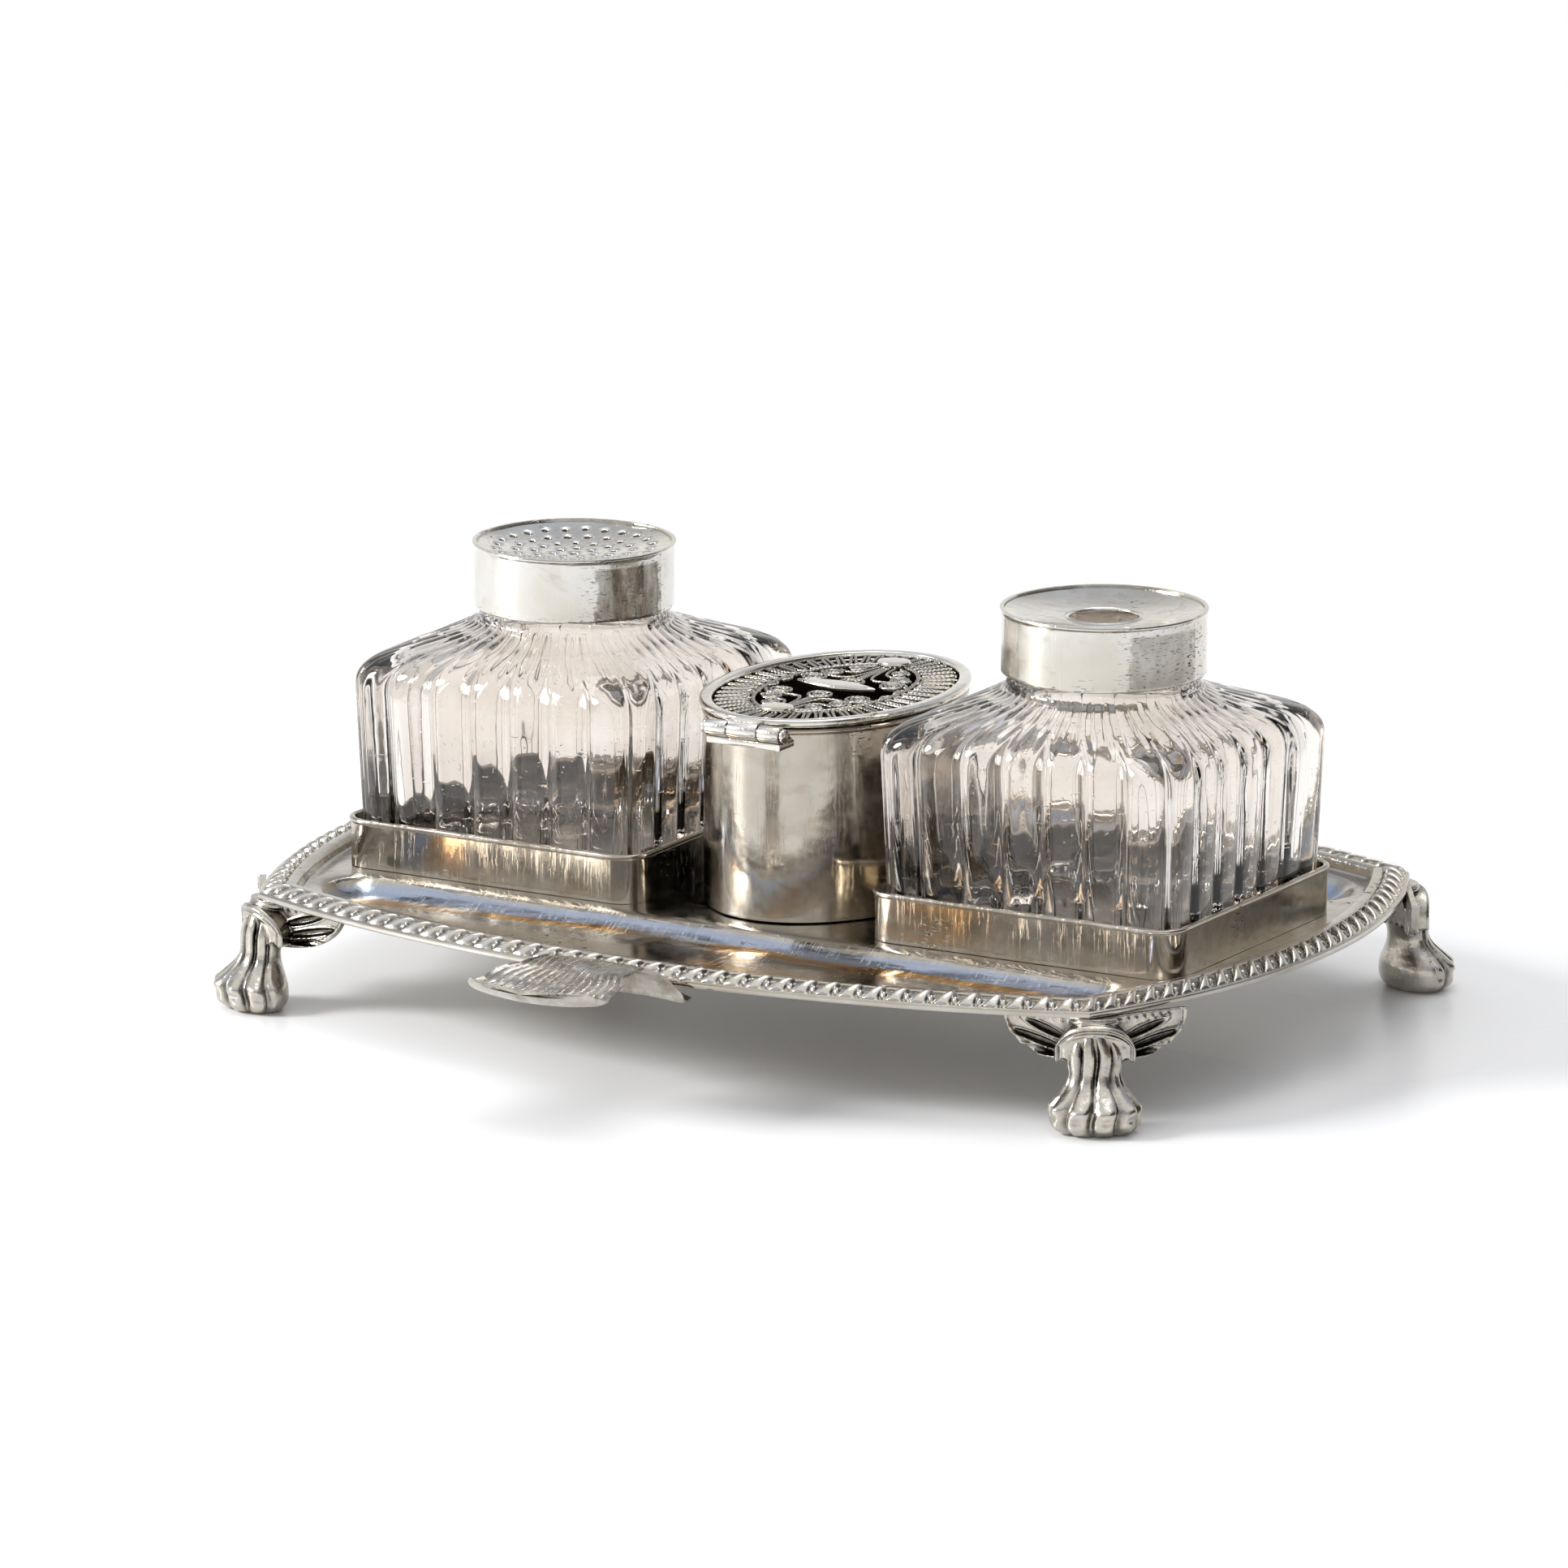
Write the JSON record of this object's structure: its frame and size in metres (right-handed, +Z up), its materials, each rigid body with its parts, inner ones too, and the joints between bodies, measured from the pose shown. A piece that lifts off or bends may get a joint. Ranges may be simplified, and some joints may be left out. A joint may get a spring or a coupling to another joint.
{
  "type": "desk standish inkwell",
  "caption": "Footed silver desk standish: square fluted-glass ink and pounce bottles in galleries, an oval hinged filigree-lidded box, pen troughs and a leaf handle.",
  "frame": {"origin": "centre of the whole footprint, leaf handle included, on the surface the feet stand on", "axes": "+X to the right along the tray, -Y towards the writer and the leaf handle, +Z up"},
  "size_m": [0.2134, 0.1958, 0.0835],
  "materials": {
    "polished_silver": "polished sterling silver, warm, finely scratched",
    "cast_silver": "cast and chased silver with dark oxide in the hollows",
    "filigree_silver": "twisted silver wire, oxidised",
    "pressed_glass": "clear pressed glass with a faint lilac tint"
  },
  "bodies": {
    "tray": {"tray_plate": "polished_silver", "border_front": "cast_silver", "border_right": "cast_silver", "border_back": "cast_silver", "border_left": "cast_silver", "foot_front_left": "cast_silver", "foot_front_right": "cast_silver", "foot_back_left": "cast_silver", "foot_back_right": "cast_silver", "leaf_handle": "cast_silver", "gallery_left": "polished_silver", "gallery_right": "polished_silver", "box_wall": "polished_silver", "box_floor": "polished_silver", "hinge_leaf_box": "polished_silver", "hinge_pin": "polished_silver"},
    "lid": {"lid_ring": "polished_silver", "lid_border_wire": "filigree_silver", "lid_inner_frame": "filigree_silver", "lid_scroll_front_left": "filigree_silver", "lid_scroll_front_right": "filigree_silver", "lid_scroll_back_left": "filigree_silver", "lid_scroll_back_right": "filigree_silver", "lid_eyelet_front": "filigree_silver", "lid_eyelet_back": "filigree_silver", "lid_navette": "polished_silver", "lid_disc_front": "polished_silver", "lid_disc_back": "polished_silver", "hinge_leaf_lid": "polished_silver"},
    "pounce_bottle": {"pounce_bottle": "pressed_glass"},
    "ink_bottle": {"ink_bottle": "pressed_glass"},
    "pounce_cap": {"pounce_collar": "polished_silver", "pounce_dish": "polished_silver"},
    "ink_cap": {"ink_collar": "polished_silver", "ink_dish": "polished_silver"}
  },
  "joints": [
    {"name": "lid_hinge", "type": "hinge", "parent": "tray", "child": "lid", "pos_m": [0, -0.01775, 0.0593], "axis": [1, 0, 0], "range_deg": [0, 105]},
    {"name": "pounce_bottle_lift", "type": "slide", "parent": "tray", "child": "pounce_bottle", "axis": [0, 0, 1], "range_m": [0, 0.07]},
    {"name": "ink_bottle_lift", "type": "slide", "parent": "tray", "child": "ink_bottle", "axis": [0, 0, 1], "range_m": [0, 0.07]},
    {"name": "pounce_cap_lift", "type": "slide", "parent": "pounce_bottle", "child": "pounce_cap", "axis": [0, 0, 1], "range_m": [0, 0.025]},
    {"name": "ink_cap_lift", "type": "slide", "parent": "ink_bottle", "child": "ink_cap", "axis": [0, 0, 1], "range_m": [0, 0.025]}
  ]
}
